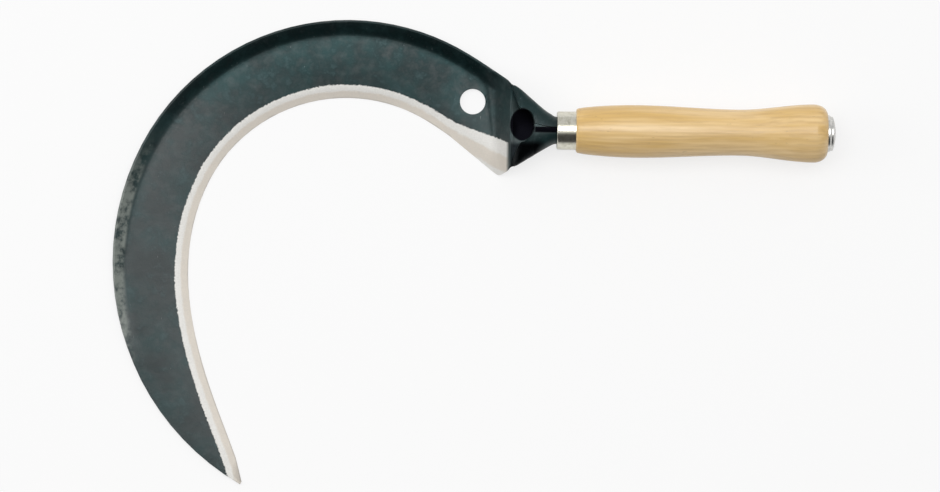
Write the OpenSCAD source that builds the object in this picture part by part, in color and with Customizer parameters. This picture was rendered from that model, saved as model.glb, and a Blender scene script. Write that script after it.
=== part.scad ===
// Grass sickle: a forged sheet blade with a raised back and a rolled, cranked neck,
// set on a through rod in a turned wooden handle. Millimetres, +Z up, laid flat on
// the underside of the blade, with the handle along +X. The origin is under the
// middle of the whole tool's box.

/* [Blade outline] */
// Direction of the spine where it leaves the neck, in degrees from +X
spine_dir = 145.5; // [138:0.5:150]
// Radius of the spine beside the neck
spine_heel_r = 250; // [150:5:400]
// Turn of the spine beside the neck, in degrees
spine_heel_turn = 4; // [2:0.5:8]
// Radius of the spine over the top of the crescent
spine_top_r = 128; // [115:1:140]
// Turn of the spine over the top, in degrees
spine_top_turn = 93.5; // [80:0.5:100]
// Radius of the spine down to the tip
spine_tip_r = 141; // [125:1:150]
// Turn of the spine down to the tip, in degrees
spine_tip_turn = 87.5; // [75:0.5:95]
// Blade width at the heel
heel_w = 43.5; // [38:0.5:50]
// Blade width over the crescent
blade_w = 42; // [34:0.5:48]
// Length over which the blade narrows to its tip
taper_len = 211; // [150:1:260]
// Width left at the blunt tip
tip_w = 1.6; // [1:0.1:4]

/* [Blade section] */
// Thickness of the sheet
sheet_t = 2; // [1.4:0.1:3]
// Thickness left at the cutting edge
edge_t = 0.5; // [0.3:0.1:1]
// Width of the ground bevel
bevel_w = 7.5; // [5:0.5:10]
// Width of the ground bevel at the heel
heel_bevel_w = 11; // [7:0.5:14]
// Width of the raised back
rib_w = 9; // [6:0.5:12]
// Height of the raised back over the web
rib_h = 4.5; // [2:0.5:7]
// Length over which the raised back runs out towards the tip
rib_fade_len = 75; // [40:5:120]
// Distance from the tip at which the raised back has run out
rib_end = 85; // [60:5:120]

/* [Hanging hole] */
// Diameter of the hanging hole
hole_d = 14; // [8:0.5:16]
// Distance of the hole's centre behind the ferrule
hole_back = 46.3; // [43:0.1:52]
// Distance of the hole's centre off the handle's axis
hole_side = 15.7; // [12:0.1:19]

/* [Neck] */
// Outer diameter of the rolled neck
neck_d = 15; // [13:0.5:16]
// Distance from the ferrule to the root of the spine
neck_len = 34.5; // [32:0.5:38]
// Distance of the spine's root off the handle's axis
root_side = 32.7; // [30:0.1:35]
// Angle of the heel's straight cut to the handle's axis, in degrees
heel_cut_a = 31.4; // [28:0.2:35]
// Angle of the edge to the handle's axis at the heel, in degrees
heel_edge_a = 39; // [36:0.5:42]
// Angle of the arch where the upper ear leaves the neck, in degrees
arch_a = 42; // [38:0.5:46]
// Distance from the ferrule at which the seam opens into the mouth
mouth_back = 12.4; // [10:0.1:15]
// Distance from the ferrule to the middle of the mouth
mouth_mid = 19; // [17.5:0.1:21]
// Half the width of the mouth
mouth_half = 8.8; // [7:0.1:10]
// Distance from the ferrule at which the ears begin to rise
ear_back = 29; // [28:0.5:31]
// Width of the gap left along the seam
seam_gap = 0.3; // [0.2:0.1:0.8]
// Height of the handle's axis over the underside of the blade
axis_z = 17; // [16.4:0.1:24]
// Length of the rolled tang inside the handle
tang_len = 40; // [25:1:60]
// Outer diameter of the rolled tang at its end
tang_end_d = 12.4; // [12.2:0.1:13]

/* [Ferrule] */
// Outer diameter of the ferrule
ferrule_d = 20.9; // [20:0.1:23]
// Length of the ferrule
ferrule_len = 10.5; // [8:0.5:16]
// Wall of the ferrule
ferrule_t = 1; // [0.6:0.1:1.2]
// Radius of the ferrule's rounded front edge
ferrule_round = 0.9; // [0.3:0.1:0.9]

/* [Handle] */
// Length of the wood behind the ferrule
grip_len = 137.8; // [110:0.5:160]
// Diameter of the wood's shoulder behind the ferrule
shoulder_d = 24.6; // [23.5:0.1:27]
// Largest diameter of the belly
belly_d = 28.9; // [26:0.1:31]
// Distance of the belly from the shoulder
belly_at = 33; // [25:0.5:45]
// Smallest diameter of the waist
waist_d = 25.2; // [22:0.1:28]
// Distance of the waist from the shoulder
waist_at = 89.5; // [70:0.5:100]
// Largest diameter at the butt
butt_d = 31.9; // [28:0.1:32.6]
// Length of the rounding at the butt
butt_round = 7.5; // [5:0.5:10]
// Diameter of the flat end face
butt_face_d = 20.8; // [20.4:0.1:24]

/* [Rod and butt cap] */
// Diameter of the through rod
rod_d = 8; // [6:0.5:8]
// Clearance round the rod and round the tang
bore_gap = 0.15; // [0.1:0.05:0.3]
// Distance of the rod's front end behind the ferrule's front
rod_from = 16; // [12:1:22]
// Diameter of the butt washer
washer_d = 20.2; // [18:0.1:20.3]
// Thickness of the butt washer
washer_t = 1.9; // [1.2:0.1:3]
// Diameter of the domed cap
cap_d = 18.6; // [14:0.1:19]
// Height of the domed cap
cap_h = 2.6; // [2.4:0.1:5]
// Depth of the cap's socket over the rod's end
cap_socket = 1.4; // [1:0.1:1.5]

/* [Hidden] */
$fn = 96;
ACROSS = 20;
RIB_STEPS = 6;
BEVEL_STEPS = 2;
SPINE_STEP = 9;
FAN_STEPS = 14;
EAR_STEPS = 11;
MOUTH_STEPS = 9;
NECK_STEPS = 8;
TANG_STEPS = 4;

neck_r = neck_d / 2;
lift = axis_z - neck_r;
heel_arc = spine_heel_r * spine_heel_turn * PI / 180;
top_arc = spine_top_r * spine_top_turn * PI / 180;
tip_arc = spine_tip_r * spine_tip_turn * PI / 180;
spine_len = heel_arc + top_arc + tip_arc;

// How full the blade stays before it narrows, and how round the narrowing is
taper_full = 3.4;
taper_round = 0.78;
// Length over which the heel's width and bevel settle
heel_settle = 200;
bevel_settle = 60;
// How quickly the raised back curves up
rib_curve = 1.6;

// Offsets of the flares behind the ferrule and the softness of their corners
cut_back = 1.9;
arch_back = 3.2;
flare_soft = 3;
corner_soft = 1.6;
cut_soft = 0.6;
// Turn of the seam off the top of the neck, in degrees
seam_turn = 10;
// The crank starts along a slanted line, and its crest stands over the mouth's floor
crank_from = 37;
crank_slant = 0.155;
crest_back = 25;
crest_h = 1.5;
crest_fall = 8;

function mix(a, b, f) = a + (b - a) * f;
function clamp(v) = max(0, min(1, v));
function soft_step(v) = clamp(v) * clamp(v) * (3 - 2 * clamp(v));
function soft_min(a, b, k) = (a + b - sqrt((a - b) * (a - b) + k * k)) / 2;
function soft_max(a, b, k) = (a + b + sqrt((a - b) * (a - b) + k * k)) / 2;

// A point that runs a given turn along an arc from p, heading h
function arc_end(p, h, r, turn) =
    p + r * [sin(h + turn) - sin(h), cos(h) - cos(h + turn)];

root = [-neck_len, root_side];
heel_end = arc_end(root, spine_dir, spine_heel_r, spine_heel_turn);
top_dir = spine_dir + spine_heel_turn;
top_end = arc_end(heel_end, top_dir, spine_top_r, spine_top_turn);
tip_dir = top_dir + spine_top_turn;

// Place and heading on the spine at a distance s from its root
function spine_point(s) =
    s < heel_arc ? arc_end(root, spine_dir, spine_heel_r, spine_heel_turn * s / heel_arc)
    : s < heel_arc + top_arc
        ? arc_end(heel_end, top_dir, spine_top_r, spine_top_turn * (s - heel_arc) / top_arc)
    : arc_end(top_end, tip_dir, spine_tip_r,
        spine_tip_turn * (s - heel_arc - top_arc) / tip_arc);
function spine_heading(s) =
    s < heel_arc ? spine_dir + spine_heel_turn * s / heel_arc
    : s < heel_arc + top_arc ? top_dir + spine_top_turn * (s - heel_arc) / top_arc
    : tip_dir + spine_tip_turn * (s - heel_arc - top_arc) / tip_arc;
function inward(s) = [cos(spine_heading(s) + 90), sin(spine_heading(s) + 90)];

// Width of the blade at a distance s from the root
function full_w(s) = mix(heel_w, blade_w, clamp(s / heel_settle));
function width_at(s) =
    let (left = clamp((spine_len - s) / taper_len),
         shape = pow(1 - pow(1 - left, taper_full), taper_round))
    mix(tip_w, full_w(s), shape);
function bevel_at(s) = min(mix(heel_bevel_w, bevel_w, clamp(s / bevel_settle)), 0.7 * width_at(s));
function rib_share(s) = clamp((spine_len - rib_end - s) / rib_fade_len);
function rib_at(s) = min(rib_w, 0.2 * width_at(s));

// Where the points of a section lie between the spine and the edge, from 0 to the width
function across_at(i, w, rib, bevel) =
    i <= RIB_STEPS ? rib * i / RIB_STEPS
    : i >= ACROSS - BEVEL_STEPS ? w - bevel * (ACROSS - i) / BEVEL_STEPS
    : mix(rib, w - bevel, (i - RIB_STEPS) / (ACROSS - BEVEL_STEPS - RIB_STEPS));
function rib_z(d, rib, share) = rib_h * share * pow(clamp(1 - d / rib), rib_curve);
function sheet_at(i) = mix(edge_t, sheet_t, clamp((ACROSS - i) / BEVEL_STEPS));

// Outline of the heel and neck: upper and lower side at a place x in front of the ferrule
edge_root = root + heel_w * inward(0);
function upper_y(x) =
    let (line = root[1] - (x - root[0]) * tan(180 - spine_dir),
         arch = neck_r + (-arch_back - x) * tan(arch_a))
    soft_min(line, soft_max(neck_r, arch, flare_soft * clamp(-x / arch_back)), cut_soft);
function lower_y(x) =
    let (edge = (x - edge_root[0]) * tan(heel_edge_a) - edge_root[1],
         cut = neck_r + (-cut_back - x) * tan(heel_cut_a))
    -soft_min(edge, soft_max(neck_r, cut, cut_soft * clamp(-x / cut_back)), corner_soft * clamp(-x / cut_back));

// Rise of the sheet from the blade's plane to the neck at a plan position
function crank(x, y) =
    let (start = -crank_from - crank_slant * y,
         f = clamp((x - start) / (-crest_back - start)),
         fall = clamp((x + crest_back) / crest_fall))
    lift * f * f * (2 - f) + crest_h * f * f * (1 - fall) * (1 - fall);

// Share of the roll at a place x, and the angle at which an ear ends there, for half a width w
function rolled(x) = soft_step((x + ear_back) / (ear_back - mouth_mid));
function mouth_at(x) =
    let (f = clamp((x + mouth_mid) / (mouth_mid - mouth_back)))
    mouth_half * sqrt(1 - f * f);
function ear_end(x, w, side) =
    let (shift = w * sin(seam_turn) * soft_step((x + mouth_mid) / (mouth_mid - mouth_back)),
         open = seam_gap / 2 + mouth_at(x) + side * shift)
    mix(90, 180 - asin(min(open / w, 1)), rolled(x));

// One section as a closed loop: along the outside, and back along the inside
function loop(u, l, x, cuts, thick, blend) =
    let (w = norm(l - u),
         d = (l - u) / w,
         h = neck_d * rolled(x),
         from = -ear_end(x, w / 2, 1),
         to = ear_end(x, w / 2, -1),
         curve = [for (i = [0 : ACROSS])
             let (a = mix(from, to, i / ACROSS))
             mix([cuts[i][0], cuts[i][1]],
                 [w / 2 + w / 2 * sin(a), h / 2 * (1 - cos(a))], blend)],
         inner = [for (i = [0 : ACROSS])
             let (t = curve[min(i + 1, ACROSS)] - curve[max(i - 1, 0)])
             curve[i] + thick[i] * [-t[1], t[0]] / norm(t)])
    [for (p = concat(curve, [for (i = [ACROSS : -1 : 0]) inner[i]]))
        let (q = u + d * p[0]) [q[0], q[1], p[1]]];

function cut_row(w, rib, share, bevel) =
    [for (i = [0 : ACROSS])
        let (d = across_at(i, w, rib, bevel)) [d, rib_z(d, rib, share)]];

// Sections of the crescent, from the tip to the root
blade_count = ceil(spine_len / SPINE_STEP);
function blade_loop(k) =
    let (s = spine_len * pow(1 - k / blade_count, 1.15),
         w = width_at(s),
         u = spine_point(s))
    loop(u, u + w * inward(s), -100,
        cut_row(w, rib_at(s), rib_share(s), bevel_at(s)),
        [for (i = [0 : ACROSS]) sheet_at(i)], 0);

// Sections that fan round the heel, and then stand square to the handle's axis
fan_end = -ear_back - 1;
function fan_loop(k) =
    let (f = k / FAN_STEPS,
         g = 1 - pow(1 - f, 1.4),
         ux = mix(root[0], fan_end, g),
         lx = mix(edge_root[0], fan_end, g))
    heel_loop(ux, lx);
function heel_loop(ux, lx) =
    let (u = [ux, upper_y(ux)],
         l = [lx, lower_y(lx)],
         w = norm(l - u),
         blend = soft_step((lx + ear_back + 1) / 8),
         thin = soft_step((-ear_back + 3 - lx) / 5))
    [for (p = loop(u, l, (ux + lx) / 2,
            cut_row(w, rib_w, 1, mix(w / 12, heel_bevel_w, thin)),
            [for (i = [0 : ACROSS]) mix(sheet_t, sheet_at(i), thin)], blend))
        [p[0], p[1], p[2] + crank(p[0], p[1])]];
// Places of the sections up to the mouth's middle, round the mouth's rim, and on to the ferrule
neck_places = concat(
    [for (k = [0 : EAR_STEPS - 1]) mix(fan_end, -mouth_mid, k / EAR_STEPS)],
    [for (k = [0 : MOUTH_STEPS - 1])
        -mouth_mid + (mouth_mid - mouth_back) * sin(90 * k / MOUTH_STEPS)],
    [for (k = [0 : NECK_STEPS - 1]) -mouth_back * (1 - k / NECK_STEPS)]);

// Sections of the tang, a plain round tube with the seam left open
function tang_loop(k) =
    let (x = tang_len * k / TANG_STEPS,
         r = mix(neck_r, tang_end_d / 2, clamp((x - ferrule_len) / (tang_len - ferrule_len))),
         from = -ear_end(0, neck_r, 1),
         to = ear_end(0, neck_r, -1))
    concat(
        [for (i = [0 : ACROSS])
            let (a = mix(from, to, i / ACROSS)) [x, -r * sin(a), axis_z - r * cos(a)]],
        [for (i = [ACROSS : -1 : 0])
            let (a = mix(from, to, i / ACROSS), q = r - sheet_t)
            [x, -q * sin(a), axis_z - q * cos(a)]]);

loops = concat(
    [for (k = [0 : blade_count - 1]) blade_loop(k)],
    [for (k = [0 : FAN_STEPS - 1]) fan_loop(k)],
    [for (x = neck_places) heel_loop(x, x)],
    [for (k = [0 : TANG_STEPS]) tang_loop(k)]);
ring = 2 * (ACROSS + 1);
last = ring * (len(loops) - 1);
points = [for (l = loops) each l];
side_faces = [for (k = [0 : len(loops) - 2], i = [0 : ring - 1])
    let (a = k * ring + i, b = k * ring + (i + 1) % ring)
    each [[a, b, b + ring], [a, b + ring, a + ring]]];
end_faces = [for (i = [0 : ACROSS - 1])
    let (j = ring - 1 - i)
    each [[i, j, j - 1], [i, j - 1, i + 1],
          [last + i, last + i + 1, last + j - 1], [last + i, last + j - 1, last + j]]];

// Turned pieces
spigot_r = ferrule_d / 2 - ferrule_t;
shoulder_round = 1.4;
butt_at = grip_len - butt_round;
rod_end = ferrule_len + grip_len + washer_t + cap_socket;
// The dome stands over a rim of a third of the cap's height
dome_rise = cap_h * 0.65;
dome_r = (cap_d * cap_d / 4 + dome_rise * dome_rise) / 2 / dome_rise;

// The tool's box, which puts the origin under its middle
cap_end = ferrule_len + grip_len + washer_t + cap_h;
low_x = min([for (p = points) p[0]]);
low_y = min([for (p = points) p[1]]);
high_y = max([for (p = points) p[1]]);
middle = [(low_x + cap_end) / 2, (low_y + high_y) / 2, 0];

module placed() { translate(-middle) children(); }
// Turned pieces lie along the handle's axis, starting at a place x
module turned(x) { placed() translate([x, 0, axis_z]) rotate([0, 90, 0]) children(); }

module blade() {
    color("darkslategray")
    placed()
    difference() {
        polyhedron(points, concat(side_faces, end_faces));
        translate([-hole_back, hole_side, -1])
            cylinder(h = sheet_t + 2, d = hole_d);
    }
}

module tang_rod() {
    color("silver")
    turned(rod_from)
        cylinder(h = rod_end - rod_from, d = rod_d);
}

// A drawn cup over the wood's spigot, with a lip turned in round the neck
module ferrule() {
    color("gainsboro")
    turned(0)
    rotate_extrude()
    difference() {
        union() {
            translate([0, ferrule_round]) square([ferrule_d / 2, ferrule_len - ferrule_round]);
            square([ferrule_d / 2 - ferrule_round, ferrule_len]);
            translate([ferrule_d / 2 - ferrule_round, ferrule_round]) circle(r = ferrule_round);
        }
        translate([-1, ferrule_t]) square([spigot_r + 1, ferrule_len]);
        translate([-1, -1]) square([neck_r + bore_gap + 1, ferrule_len]);
    }
}

// Radius of the wood at a distance from its shoulder
function grip_r(z) =
    z < belly_at ? mix(shoulder_d, belly_d, 1 - pow(1 - z / belly_at, 2)) / 2
    : z < waist_at ? mix(belly_d, waist_d, soft_step((z - belly_at) / (waist_at - belly_at))) / 2
    : mix(waist_d, butt_d, soft_step((z - waist_at) / (butt_at - waist_at))) / 2;

grip_steps = 44;
grip_profile = concat(
    [for (a = [0 : 30 : 90])
        [shoulder_d / 2 - shoulder_round * (1 - sin(a)), shoulder_round * (1 - cos(a))]],
    [for (k = [1 : grip_steps])
        let (z = mix(shoulder_round, butt_at, k / grip_steps)) [grip_r(z), z]],
    [for (a = [10 : 10 : 90])
        [mix(butt_face_d, butt_d, cos(a)) / 2, butt_at + butt_round * sin(a)]]);

module handle() {
    color("burlywood")
    turned(ferrule_len)
    difference() {
        union() {
            rotate_extrude() polygon(concat([[0, 0]], grip_profile, [[0, grip_len]]));
            translate([0, 0, ferrule_t - ferrule_len]) cylinder(h = ferrule_len, r = spigot_r);
        }
        translate([0, 0, -ferrule_len]) cylinder(h = ferrule_len, r = neck_r + bore_gap);
        cylinder(h = tang_len - ferrule_len, r1 = neck_r + bore_gap, r2 = tang_end_d / 2 + bore_gap);
        cylinder(h = grip_len + 1, r = rod_d / 2 + bore_gap);
    }
}

module butt_washer() {
    color("gainsboro")
    turned(ferrule_len + grip_len)
    difference() {
        rotate_extrude()
            polygon([[0, 0], [washer_d / 2, 0], [washer_d / 2, washer_t * 0.5],
                [cap_d / 2, washer_t], [0, washer_t]]);
        translate([0, 0, -1]) cylinder(h = washer_t + 2, r = rod_d / 2 + bore_gap);
    }
}

// A domed cap closed over the rod's end
module rivet_cap() {
    color("gainsboro")
    turned(ferrule_len + grip_len + washer_t)
    difference() {
        intersection() {
            cylinder(h = cap_h, d = cap_d);
            translate([0, 0, cap_h - dome_r]) sphere(r = dome_r);
        }
        translate([0, 0, -1]) cylinder(h = cap_socket + 1, r = rod_d / 2 + bore_gap);
    }
}

blade();
tang_rod();
ferrule();
handle();
butt_washer();
rivet_cap();
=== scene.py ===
import bpy, math
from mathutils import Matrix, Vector, kdtree


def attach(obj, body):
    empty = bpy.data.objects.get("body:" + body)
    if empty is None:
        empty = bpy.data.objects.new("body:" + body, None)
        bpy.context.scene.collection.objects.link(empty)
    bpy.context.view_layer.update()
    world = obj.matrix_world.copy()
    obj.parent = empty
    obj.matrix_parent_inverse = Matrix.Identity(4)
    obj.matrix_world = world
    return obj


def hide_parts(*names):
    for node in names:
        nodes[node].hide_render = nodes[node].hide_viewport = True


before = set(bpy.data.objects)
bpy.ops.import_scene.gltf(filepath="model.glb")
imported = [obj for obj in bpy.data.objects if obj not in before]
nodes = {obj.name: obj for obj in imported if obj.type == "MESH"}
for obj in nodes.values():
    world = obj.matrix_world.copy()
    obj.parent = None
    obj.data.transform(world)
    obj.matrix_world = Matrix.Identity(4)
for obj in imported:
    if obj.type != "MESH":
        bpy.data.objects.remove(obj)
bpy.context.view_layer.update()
mm = 0.001
white = (1, 1, 1, 1)
print("frame loaded:", len(nodes), "nodes")


class Sock:  # wraps one shader output, so that shader maths reads as Python
    tree = None

    def __init__(self, out):
        self.out = out

    @staticmethod
    def make(kind, settings=None, output=0, **sockets):  # i0, i1 and so on are inputs by number
        node = Sock.tree.nodes.new(kind)
        for key, value in (settings or {}).items():
            setattr(node, key, value)
        for key, value in sockets.items():
            target = node.inputs[int(key[1:]) if key[1:].isdigit() else key.replace("_", " ")]
            if isinstance(value, Sock):
                Sock.tree.links.new(value.out, target)
            else:
                target.default_value = value
        return Sock(node.outputs[output])

    def math(self, word, other):
        return Sock.make("ShaderNodeMath", {"operation": word}, i0=self, i1=other)

    def __add__(self, other):
        return self.math("ADD", other)

    def __radd__(self, other):
        return self.math("ADD", other)

    def __sub__(self, other):
        return self.math("SUBTRACT", other)

    def __rsub__(self, other):
        return Sock.make("ShaderNodeMath", {"operation": "SUBTRACT"}, i0=other, i1=self)

    def __mul__(self, other):
        return self.math("MULTIPLY", other)

    def __truediv__(self, other):
        return self.math("DIVIDE", other)

    def step(self, low, high):  # soft step from 0 at low to 1 at high
        return Sock.make("ShaderNodeMapRange", {"interpolation_type": "SMOOTHSTEP"},
            Value=self, From_Min=low, From_Max=high)

    def before(self, low, high):  # soft step from 1 at low to 0 at high
        return 1 - self.step(low, high)

    def swing(self, share):  # a noise field moved to lie evenly about zero
        return (self - 0.5) * share


def blendColour(share, first, second):
    return Sock.make("ShaderNodeMix", {"data_type": "RGBA"}, output=2, i0=share, i6=first, i7=second)


def objectPlace(scale=(1, 1, 1)):
    place = Sock.make("ShaderNodeTexCoord", output="Object")
    return Sock.make("ShaderNodeMapping", Vector=place, Scale=scale)


def axis(place, letter):
    return Sock.make("ShaderNodeSeparateXYZ", output=letter, Vector=place)


def noise(place, scale, detail, roughness):
    return Sock.make("ShaderNodeTexNoise", Vector=place, Scale=scale, Detail=detail, Roughness=roughness)


def bump(height, strength, distance):
    return Sock.make("ShaderNodeBump", Height=height, Strength=strength, Distance=distance)


def newMaterial(name, fixed):
    material = bpy.data.materials.new(name)
    material.use_nodes = True
    Sock.tree = material.node_tree
    shader = material.node_tree.nodes["Principled BSDF"]
    for key, value in fixed.items():
        shader.inputs[key].default_value = value
    return material, shader


def feed(shader, **sockets):
    for key, value in sockets.items():
        Sock.tree.links.new(value.out, shader.inputs[key.replace("_", " ")])


def dress(thing, material):
    thing.data.materials.clear()
    thing.data.materials.append(material)


# The blade's outline as in the part, in mm: arcs from the neck over the top and down to the tip
outline = {
    "root": (-34.5, 32.7), "start": 145.5,
    "arcs": ((250, 4), (128, 93.5), (141, 87.5)),  # radius and turn in degrees
    "heelWide": 43.5, "wide": 42, "settle": 200,  # how far along the back the width settles
    "taper": 211, "tipWide": 1.6, "full": 3.4, "round": 0.78,  # the last stretch, and its powers
    "heelCorner": (-24.4, -20.7), "middle": (-45.3993, -68.5238),
    "stepLen": 2.0, "heelSteps": 12,
}


def spineRows():
    x, y = outline["root"]
    heading, run, rows = outline["start"], 0.0, []
    for radius, turn in outline["arcs"]:
        count = max(2, int(radius * math.radians(turn) / outline["stepLen"]))
        for _ in range(count):
            rows.append((x, y, heading, run))
            after = heading + turn / count
            x += radius * (math.sin(math.radians(after)) - math.sin(math.radians(heading)))
            y += radius * (math.cos(math.radians(heading)) - math.cos(math.radians(after)))
            heading, run = after, run + radius * math.radians(turn / count)
    total = sum(radius * math.radians(turn) for radius, turn in outline["arcs"])
    rows.append((x, y, heading, total))
    return rows, total


def bladeCurves():  # the back's curve and the edge's, the straight start at the heel included
    rows, total = spineRows()
    spine, edge = [], []
    for x, y, heading, run in rows:
        left = min(1, max(0, (total - run) / outline["taper"]))
        shape = (1 - (1 - left) ** outline["full"]) ** outline["round"]
        settled = min(1, run / outline["settle"])
        full = outline["heelWide"] + (outline["wide"] - outline["heelWide"]) * settled
        wide = outline["tipWide"] + (full - outline["tipWide"]) * shape
        inward = math.radians(heading + 90)
        spine.append((x, y))
        edge.append((x + wide * math.cos(inward), y + wide * math.sin(inward)))
    cornerX, cornerY = outline["heelCorner"]
    startX, startY = edge[0]
    heel = []
    for k in range(outline["heelSteps"]):
        share = k / outline["heelSteps"]
        heel.append((cornerX + (startX - cornerX) * share, cornerY + (startY - cornerY) * share))
    return spine, heel + edge


def nearTree(curve):
    tree = kdtree.KDTree(len(curve))
    for k, (x, y) in enumerate(curve):
        tree.insert((x, y, 0), k)
    tree.balance()
    return tree


# Places along the blade are metres in its own coordinates, and distances from edge and back are mm.
# A pair is where a soft step begins and ends. A noise field is scale, detail, roughness.
blade = {
    "slot": "lacquered_steel", "weld": 1e-6, "smooth": 32, "shine": 0.5,
    "fringe": (900, 4, 0.7), "soft": (45, 3, 0.6), "mottle": (160, 4, 0.65), "fine": (1400, 2, 0.6),
    # ground bevel, which widens towards the heel and ends at the neck
    "bevelWide": 7.2, "heelMore": 4.0, "heelAt": (-0.02, 0.02), "neckAt": (0.0175, 0.0195),
    "frayFine": 2.4, "frayBroad": 1.2, "bevelSoft": (-0.25, 0.25),
    "honedColour": (0.66, 0.61, 0.54, 1), "honedAt": (3.2, 4.6), "honedFray": 2,
    "groundColour": (0.74, 0.73, 0.70, 1),
    "grindColour": (0.50, 0.48, 0.45, 1), "grindAt": (0.35, 0.65), "grindShare": 0.25,
    "rimColour": (0.32, 0.30, 0.28, 1), "rimAt": (0.2, 0.9), "rimShare": 0.5,
    "rustColour": (0.22, 0.10, 0.04, 1), "rustFine": (0.74, 0.78), "rustBroad": (0.56, 0.62),
    # lacquer, with its scratches, a painted highlight along the rim of the back and a painted reflection
    # on the raised band beside it
    "deepColour": (0.004, 0.015, 0.016, 1),
    "thinColour": (0.012, 0.034, 0.035, 1), "thinAt": (0.35, 0.65),
    "hazeColour": (0.05, 0.075, 0.078, 1), "hazeAt": (0.52, 0.72), "hazeShare": 0.5,
    "scratchColour": (0.30, 0.32, 0.33, 1), "scratchAt": (0.74, 0.77), "scratchShare": 0.5,
    "scratch": (1500, 2, 0.5), "scratchRun": (1, 0.12, 1),
    # painted highlight: a thin light line along the outer edge of the back, where it stands raised
    "edgeHighlightColour": (0.35, 0.38, 0.38, 1), "edgeHighlightAt": (0.2, 0.9),
    "edgeHighlightHigh": (0.004, 0.006), "edgeHighlightShare": 0.4,
    # painted reflection: the raised band of the back made lighter along its lower run, fading out
    # towards the top
    "ribReflectionColour": (0.20, 0.225, 0.205, 1), "ribWide": (6.2, 8.4), "ribEnd": (0.02, 0.07),
    "ribHigh": (0.0021, 0.003), "ribReflectionPatch": (0.35, 0.6),
    # painted shade and dark reflection: near black in the shadowed mouth, on the lower ear and on the
    # flat beside the seam
    "paintedShadeColour": (0.002, 0.002, 0.003, 1),
    "mouth": (0.0264, 0.0716), "mouthHalf": (0.0068, 0.0090), "mouthSoft": (0.85, 1.1),
    "earFrom": (0.0190, 0.0210), "earTo": (0.034, 0.041), "earTop": (0.0600, 0.0640),
    "earShare": 0.8, "earFray": 0.2,
    "seamFrom": (0.032, 0.034), "seamLow": (0.0668, 0.0676), "seamHigh": (0.0700, 0.0708),
    # painted shade: the lacquer's reflections made darker over the top and at the heel, with random
    # mottling all over
    "shadeLeast": 0.05, "shadeMost": 0.9, "shadeTop": (0.055, 0.105), "shadeTopShare": 0.55,
    "shadeHeel": (-0.06, -0.02), "shadeHeelShare": 0.1,
    "shadeMottle": 1.5, "shadeBroad": 0.8, "shadeRib": 0.5,
    "groundMetal": 0.35, "rough": 0.26, "roughMottle": 0.14, "roughGround": 0.2,
    "dent": (55, 2, 0.5), "dentMottle": 0.35, "dentFine": 0.06, "dentGround": 0.1,
    "bump": (0.35, 0.0006),  # strength and distance
}


def makeBlade():
    piece = bpy.data.objects.new("sickle_blade", nodes["blade"].data.copy())
    bpy.context.scene.collection.objects.link(piece)
    bpy.ops.object.select_all(action="DESELECT")
    bpy.context.view_layer.objects.active = piece
    piece.select_set(True)
    bpy.ops.object.mode_set(mode="EDIT")
    bpy.ops.mesh.select_all(action="SELECT")
    bpy.ops.mesh.remove_doubles(threshold=blade["weld"])
    bpy.ops.object.mode_set(mode="OBJECT")
    bpy.ops.object.shade_smooth_by_angle(angle=math.radians(blade["smooth"]))
    spine, edge = bladeCurves()
    offsetX, offsetY = outline["middle"]
    for name, tree in (("edgeFar", nearTree(edge)), ("spineFar", nearTree(spine))):
        layer = piece.data.attributes.new(name, "FLOAT", "POINT")
        for vertex in piece.data.vertices:
            spot = (vertex.co.x / mm + offsetX, vertex.co.y / mm + offsetY, 0)
            layer.data[vertex.index].value = tree.find(spot)[2]
    return piece


def groundColour(edgeFar, mottle, fine, fringe):
    far = edgeFar + mottle.swing(blade["honedFray"])
    colour = blendColour(far.step(*blade["honedAt"]), blade["honedColour"], blade["groundColour"])
    grind = fine.step(*blade["grindAt"]) * blade["grindShare"]
    colour = blendColour(grind, colour, blade["grindColour"])
    rim = edgeFar.before(*blade["rimAt"]) * blade["rimShare"]
    colour = blendColour(rim, colour, blade["rimColour"])
    rust = fringe.step(*blade["rustFine"]) * mottle.step(*blade["rustBroad"])
    return blendColour(rust, colour, blade["rustColour"])


def lacquerColour(spineFar, height, rib, paintedShade, soft, mottle):
    colour = blendColour(soft.step(*blade["thinAt"]), blade["deepColour"], blade["thinColour"])
    haze = mottle.step(*blade["hazeAt"]) * blade["hazeShare"]
    colour = blendColour(haze, colour, blade["hazeColour"])
    scratch = noise(objectPlace(blade["scratchRun"]), *blade["scratch"]).step(*blade["scratchAt"])
    colour = blendColour(scratch * blade["scratchShare"], colour, blade["scratchColour"])
    # painted highlight along the back's outer edge
    edgeHighlight = spineFar.before(*blade["edgeHighlightAt"]) * height.step(*blade["edgeHighlightHigh"])
    colour = blendColour(edgeHighlight * blade["edgeHighlightShare"], colour, blade["edgeHighlightColour"])
    # painted reflection on the raised band, in mottled patches
    colour = blendColour(rib * mottle.step(*blade["ribReflectionPatch"]), colour, blade["ribReflectionColour"])
    # the near-black painted shade of the mouth, lower ear and seam flat goes over everything
    return blendColour(paintedShade, colour, blade["paintedShadeColour"])


# Mask of painted shade: the mouth's shadowed inside, and the lower ear and seam flat, which reflect the
# dark side
def paintedShadePlaces(side, across, fringe):
    far = (side - blade["mouth"][0]) / blade["mouthHalf"][0]
    wide = (across - blade["mouth"][1]) / blade["mouthHalf"][1]
    mouth = (far * far + wide * wide).before(*blade["mouthSoft"])
    ear = side.step(*blade["earFrom"]) * across.before(*blade["earTop"]) * side.before(*blade["earTo"])
    seam = side.step(*blade["seamFrom"]) * across.step(*blade["seamLow"])
    seam = seam * across.before(*blade["seamHigh"])
    return (mouth + ear * (blade["earShare"] + fringe * blade["earFray"]) + seam).math("MINIMUM", 1.0)


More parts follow.
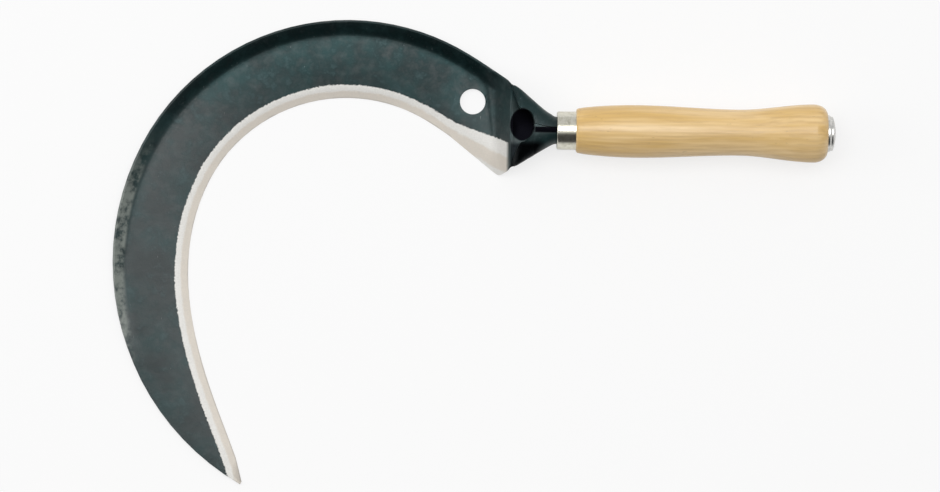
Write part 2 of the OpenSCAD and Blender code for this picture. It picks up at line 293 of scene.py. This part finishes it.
def bladeMaterial():
    material, shader = newMaterial("black lacquer and ground edge",
        {"Specular IOR Level": blade["shine"]})
    place = objectPlace()
    side, across, height = (axis(place, letter) for letter in "XYZ")
    fields = ("fringe", "soft", "mottle", "fine")
    fringe, soft, mottle, fine = (noise(place, *blade[name]) for name in fields)
    edgeFar, spineFar = (Sock.make("ShaderNodeAttribute", {"attribute_name": name}, output="Fac")
        for name in ("edgeFar", "spineFar"))

    bevelWide = blade["bevelWide"] + side.step(*blade["heelAt"]) * blade["heelMore"]
    frayed = edgeFar + fringe.swing(blade["frayFine"]) + soft.swing(blade["frayBroad"])
    ground = (frayed - bevelWide).before(*blade["bevelSoft"]) * side.before(*blade["neckAt"])
    # painted reflection: the raised band's mask, faded out towards the top where the band shows black
    rib = spineFar.before(*blade["ribWide"]) * across.before(*blade["ribEnd"])
    rib = rib * height.step(*blade["ribHigh"])
    # painted shade: near black in the mouth, on the lower ear and beside the seam
    paintedShade = paintedShadePlaces(side, across, fringe)
    colour = blendColour(ground, lacquerColour(spineFar, height, rib, paintedShade, soft, mottle),
        groundColour(edgeFar, mottle, fine, fringe))

    # painted shade through the metallic share: darker reflections over the top and at the heel, randomly
    # mottled, less on the rib's painted reflection
    shadeAndMottle = across.step(*blade["shadeTop"]) * blade["shadeTopShare"]
    shadeAndMottle = shadeAndMottle + side.step(*blade["shadeHeel"]) * blade["shadeHeelShare"] + blade["shadeLeast"]
    shadeAndMottle = shadeAndMottle + mottle.swing(blade["shadeMottle"]) + soft.swing(blade["shadeBroad"])
    shadeAndMottle = shadeAndMottle - rib * blade["shadeRib"]
    shadeAndMottle = shadeAndMottle.math("MAXIMUM", 0.0).math("MINIMUM", blade["shadeMost"]).math("MAXIMUM", paintedShade)

    dent = noise(place, *blade["dent"]) + mottle * blade["dentMottle"] + fine * blade["dentFine"]
    dent = dent + fringe * ground * blade["dentGround"]
    feed(shader, Base_Color=colour, Metallic=ground * blade["groundMetal"] + (1 - ground) * shadeAndMottle,
        Roughness=blade["rough"] + mottle * blade["roughMottle"] + ground * blade["roughGround"],
        Normal=bump(dent, *blade["bump"]))
    return material


bladePiece = makeBlade()
dress(bladePiece, bladeMaterial())
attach(bladePiece, "root")
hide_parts("blade")
print("blade dressed:", len(bladePiece.data.polygons), "faces")

# The grain runs along X, so each field is stretched that way
wood = {
    "streak": (520, 4, 0.6), "streakRun": (0.05, 1, 1), "streakAt": (0.45, 0.75), "streakShare": 0.45,
    "broad": (120, 3, 0.55), "broadRun": (0.09, 1, 1), "broadAt": (0.35, 0.65),
    "figureRun": (0.12, 1, 0.6), "figureShare": 0.22,
    "figure": {"Scale": 130, "Distortion": 7, "Detail": 2, "Detail_Scale": 1.2},
    "fleck": (1300, 2, 0.5), "fleckRun": (0.16, 1, 1), "fleckAt": (0.70, 0.76), "fleckShare": 0.6,
    "darkColour": (0.72, 0.47, 0.16, 1), "lightColour": (0.86, 0.62, 0.31, 1),
    "streakColour": (0.50, 0.31, 0.13, 1), "figureColour": (0.56, 0.34, 0.14, 1),
    "fleckColour": (0.20, 0.11, 0.045, 1),
    "coat": 0.6, "coatRough": 0.16, "shine": 0.4, "rough": 0.36, "roughStreak": 0.16,
    "wave": (90, 2, 0.5), "waveShare": 0.6, "bump": (0.12, 0.0004),
}


def woodMaterial():
    material, shader = newMaterial("turned lacquered wood", {"Coat Weight": wood["coat"],
        "Coat Roughness": wood["coatRough"], "Specular IOR Level": wood["shine"]})
    streak = noise(objectPlace(wood["streakRun"]), *wood["streak"])
    broad = noise(objectPlace(wood["broadRun"]), *wood["broad"])
    figure = Sock.make("ShaderNodeTexWave", {"wave_type": "BANDS", "bands_direction": "Y"}, output="Fac",
        Vector=objectPlace(wood["figureRun"]), **wood["figure"])
    fleck = noise(objectPlace(wood["fleckRun"]), *wood["fleck"]).step(*wood["fleckAt"])
    colour = blendColour(broad.step(*wood["broadAt"]), wood["darkColour"], wood["lightColour"])
    dark = streak.step(*wood["streakAt"]) * wood["streakShare"]
    colour = blendColour(dark, colour, wood["streakColour"])
    colour = blendColour(figure * wood["figureShare"], colour, wood["figureColour"])
    colour = blendColour(fleck * wood["fleckShare"], colour, wood["fleckColour"])
    height = streak + noise(objectPlace(), *wood["wave"]) * wood["waveShare"]
    feed(shader, Base_Color=colour, Roughness=wood["rough"] + streak * wood["roughStreak"],
        Normal=bump(height, *wood["bump"]))
    return material


# Each bright metal: darker and lighter colour, roughness, how close its turning lines lie
metals = {
    "ferrule": ("bright ferrule", (0.62, 0.60, 0.50, 1), (0.80, 0.78, 0.68, 1), 0.14, 900),
    "cap": ("bright cap", (0.55, 0.55, 0.53, 1), (0.78, 0.77, 0.74, 1), 0.2, 1200),
    "rod": ("plain rod", (0.35, 0.35, 0.36, 1), (0.50, 0.50, 0.51, 1), 0.35, 700),
    "lineRun": (1, 0.05, 0.05), "line": (2, 0.5), "spot": (420, 3, 0.6), "spotAt": (0.4, 0.7),
    "stainColour": (0.10, 0.09, 0.07, 1), "stainAt": (0.72, 0.76), "stainShare": 0.8,
    "roughSpot": 0.12, "spotShare": 0.5, "bump": (0.12, 0.0002),
}


def metalMaterial(name, dark, light, rough, turned):
    material, shader = newMaterial(name, {"Metallic": 1.0})
    lines = noise(objectPlace(metals["lineRun"]), turned, *metals["line"])
    spots = noise(objectPlace(), *metals["spot"])
    colour = blendColour(spots.step(*metals["spotAt"]), light, dark)
    stain = spots.step(*metals["stainAt"]) * metals["stainShare"]
    colour = blendColour(stain, colour, metals["stainColour"])
    feed(shader, Base_Color=colour, Roughness=rough + spots * metals["roughSpot"],
        Normal=bump(lines + spots * metals["spotShare"], *metals["bump"]))
    return material


capMetal = metalMaterial(*metals["cap"])
dress(nodes["handle"], woodMaterial())
dress(nodes["ferrule"], metalMaterial(*metals["ferrule"]))
dress(nodes["rivet_cap"], capMetal)
dress(nodes["butt_washer"], capMetal)
dress(nodes["tang_rod"], metalMaterial(*metals["rod"]))
print("handle and metal dressed")

studio = {
    "floorWide": 6, "floorColour": (0.90, 0.90, 0.90, 1), "floorRough": 0.8, "floorShine": 0.1,
    "floorGlow": 0.75,  # how white the floor is made for the camera alone
    "roomColour": (0.62, 0.62, 0.62, 1), "darkColour": (0.06, 0.06, 0.06, 1),
    "darkSide": (-0.45, -0.15), "darkLow": (0.05, 0.3),  # the dark wall stands towards -Y
    "lamps": (  # name, size, place and watts
        ("softbox", (1.5, 0.72), (0, 0.36, 1.5), 11.5),
        ("side", (0.8, 0.8), (-1.5, 0.2, 0.9), 5),
    ),
    "camFar": 2.6, "frameWide": 0.517, "aim": (-0.0014, 0.0046, 0.008), "roll": 0.7,
    "sensor": 36, "clipEnd": 20,
}


def makeFloor():
    bpy.ops.object.select_all(action="DESELECT")
    bpy.ops.mesh.primitive_plane_add(size=studio["floorWide"], location=(0, 0, 0))
    floor = bpy.context.object
    floor.name = "floor"
    material, shader = newMaterial("pale floor", {"Base Color": studio["floorColour"],
        "Roughness": studio["floorRough"], "Specular IOR Level": studio["floorShine"]})
    glow = Sock.make("ShaderNodeEmission", Color=white, Strength=1.0)
    seen = Sock.make("ShaderNodeLightPath", output="Is Camera Ray") * studio["floorGlow"]
    mixed = Sock.make("ShaderNodeMixShader", i0=seen, i1=Sock(shader.outputs[0]), i2=glow)
    Sock.tree.links.new(mixed.out, Sock.tree.nodes["Material Output"].inputs[0])
    floor.data.materials.append(material)


def makeWorld():
    world = bpy.data.worlds.new("studio")
    bpy.context.scene.world = world
    world.use_nodes = True
    Sock.tree = world.node_tree
    place = Sock.make("ShaderNodeTexCoord", output="Generated")
    dark = axis(place, "Y").before(*studio["darkSide"]) * axis(place, "Z").step(*studio["darkLow"])
    shade = blendColour(dark, studio["roomColour"], studio["darkColour"])
    shade = blendColour(Sock.make("ShaderNodeLightPath", output="Is Camera Ray"), shade, white)
    feed(world.node_tree.nodes["Background"], Color=shade)


def makeLights():
    for name, size, spot, power in studio["lamps"]:
        lamp = bpy.data.lights.new(name, "AREA")
        lamp.shape = "RECTANGLE"
        lamp.size, lamp.size_y = size
        lamp.energy = power
        holder = bpy.data.objects.new(name, lamp)
        bpy.context.scene.collection.objects.link(holder)
        holder.location = spot
        holder.rotation_euler = (-Vector(spot)).to_track_quat("-Z", "Y").to_euler()
        holder.visible_camera = False


def makeCamera():
    lens = bpy.data.cameras.new("camera")
    lens.sensor_width = studio["sensor"]
    lens.lens = studio["sensor"] * studio["camFar"] / studio["frameWide"]
    lens.clip_end = studio["clipEnd"]
    holder = bpy.data.objects.new("camera", lens)
    bpy.context.scene.collection.objects.link(holder)
    x, y, z = studio["aim"]
    holder.location = (x, y, z + studio["camFar"])
    holder.rotation_euler = (0, 0, math.radians(studio["roll"]))
    bpy.context.scene.camera = holder


makeFloor()
makeWorld()
makeLights()
makeCamera()
bpy.context.scene.view_settings.view_transform = "Standard"
print("studio ready")
